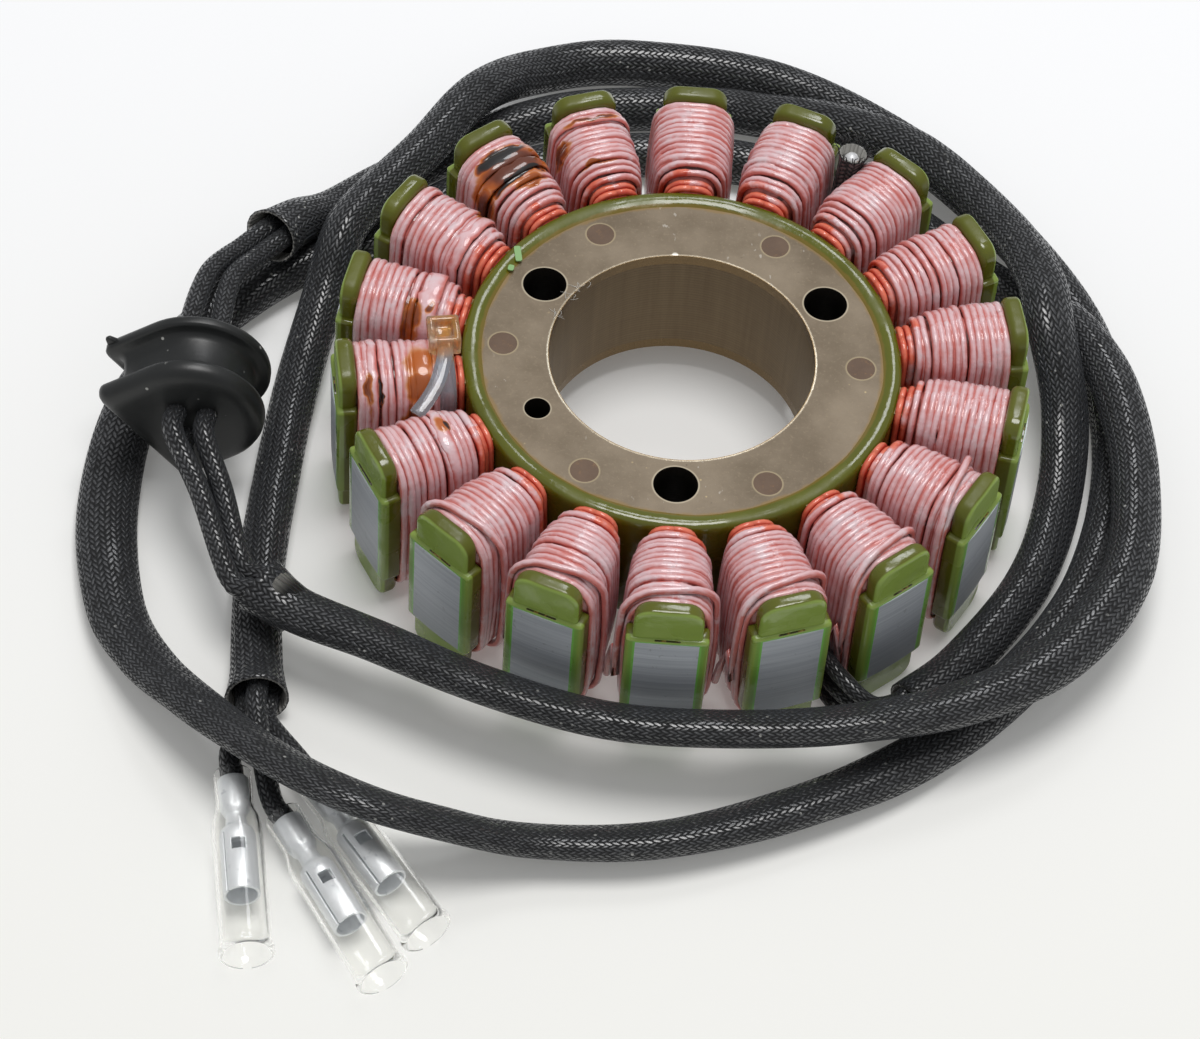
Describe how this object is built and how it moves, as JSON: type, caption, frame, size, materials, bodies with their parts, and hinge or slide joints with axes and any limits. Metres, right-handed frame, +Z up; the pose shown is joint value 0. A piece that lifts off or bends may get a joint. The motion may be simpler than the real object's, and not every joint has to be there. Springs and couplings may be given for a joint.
{
  "type": "wound generator stator",
  "caption": "Wound generator stator: green-coated laminated core with a coil on each pole, a braided lead harness, a rubber grommet and bullet terminals in clear sleeves.",
  "frame": {"origin": "on the axis of the centre bore, at the level of the lower lips on which the stator lies", "axes": "+Z up along the bore axis; -Y through the middle of the front pole; +X to the right seen from the front"},
  "size_m": [0.1607, 0.184, 0.0318],
  "materials": {
    "core_steel": "ground pole faces, fine brush lines",
    "plate_steel": "brown oxidised steel, satin",
    "rivet_steel": "darker flush rivet ends",
    "green_epoxy": "thick glossy epoxy powder coat",
    "coil_wire": "varnished pink enamelled copper wire",
    "tie_nylon": "clear nylon tinted amber by varnish",
    "solder": "bright solder",
    "splice_braid": "grey-black woven glass sleeve",
    "sleeve_braid": "varnished black braided sleeve",
    "lead_braid": "black braided lead",
    "grommet_rubber": "moulded black rubber",
    "terminal_tin": "tin plated",
    "clear_pvc": "clear flexible sleeve"
  },
  "bodies": {
    "root": {"lamination_stack": "core_steel", "end_plate_top": "plate_steel", "end_plate_bottom": "plate_steel", "rivets": "rivet_steel", "epoxy_coat": "green_epoxy", "coil_01": "coil_wire", "coil_02": "coil_wire", "coil_03": "coil_wire", "coil_04": "coil_wire", "coil_05": "coil_wire", "coil_06": "coil_wire", "coil_07": "coil_wire", "coil_08": "coil_wire", "coil_09": "coil_wire", "coil_10": "coil_wire", "coil_11": "coil_wire", "coil_12": "coil_wire", "coil_13": "coil_wire", "coil_14": "coil_wire", "coil_15": "coil_wire", "coil_16": "coil_wire", "coil_17": "coil_wire", "coil_18": "coil_wire", "cable_tie": "tie_nylon", "neutral_splice": "solder", "neutral_splice_sleeve": "splice_braid", "harness_sleeve_1": "sleeve_braid", "harness_sleeve_2": "sleeve_braid", "stator_lead_1": "lead_braid", "stator_lead_2": "lead_braid", "stator_lead_3": "lead_braid", "inner_lead_1": "lead_braid", "inner_lead_2": "lead_braid", "inner_lead_3": "lead_braid", "middle_lead_1": "lead_braid", "middle_lead_2": "lead_braid", "middle_lead_3": "lead_braid", "plug_lead_1": "lead_braid", "plug_lead_2": "lead_braid", "plug_lead_3": "lead_braid", "grommet": "grommet_rubber", "terminal_1": "terminal_tin", "terminal_2": "terminal_tin", "terminal_3": "terminal_tin", "terminal_sleeve_1": "clear_pvc", "terminal_sleeve_2": "clear_pvc", "terminal_sleeve_3": "clear_pvc"}
  },
  "joints": []
}
